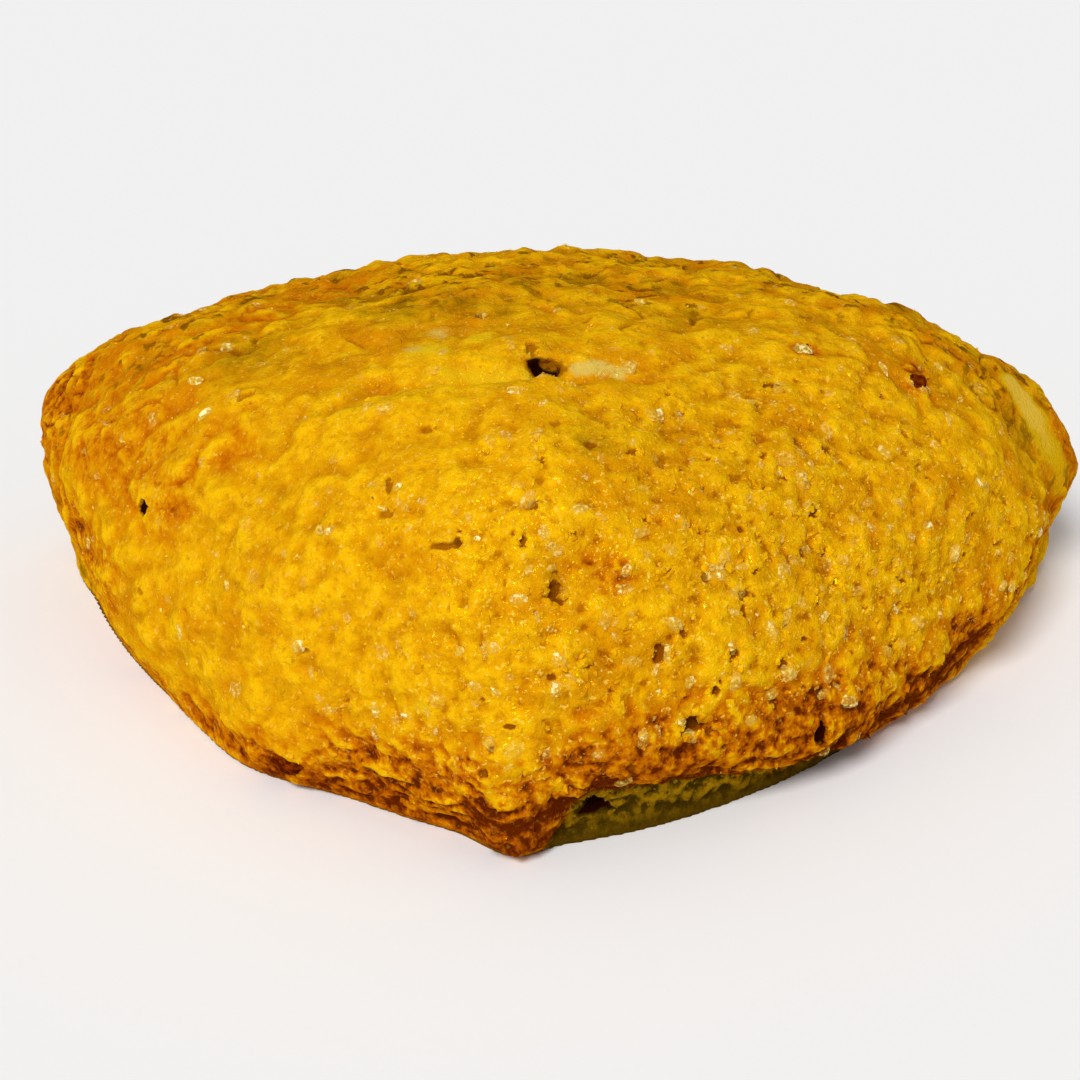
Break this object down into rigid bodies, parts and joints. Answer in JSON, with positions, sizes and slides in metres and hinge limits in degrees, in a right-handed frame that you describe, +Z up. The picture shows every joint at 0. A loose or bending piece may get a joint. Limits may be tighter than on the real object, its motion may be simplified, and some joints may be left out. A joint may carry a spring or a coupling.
{
  "type": "chocolate chip scone",
  "caption": "Wedge-shaped baked scone with a domed, craggy golden crust, coarse sugar on top, a few chocolate chips at the surface and a flat base to rest on.",
  "frame": {"origin": "middle of the bounding box in plan, at the height of the base", "axes": "+Z up from the base, -Y from the middle towards the wedge's tip, +X to the right of someone facing the tip"},
  "size_m": [0.121, 0.0914, 0.0404],
  "materials": {
    "crust": "baked crust, golden yellow to toasted brown, slightly glossy from melted sugar",
    "sugar": "coarse sugar crystals, translucent",
    "chocolate": "dark chocolate, melted and set"
  },
  "bodies": {
    "root": {"scone": "crust"}
  },
  "joints": []
}
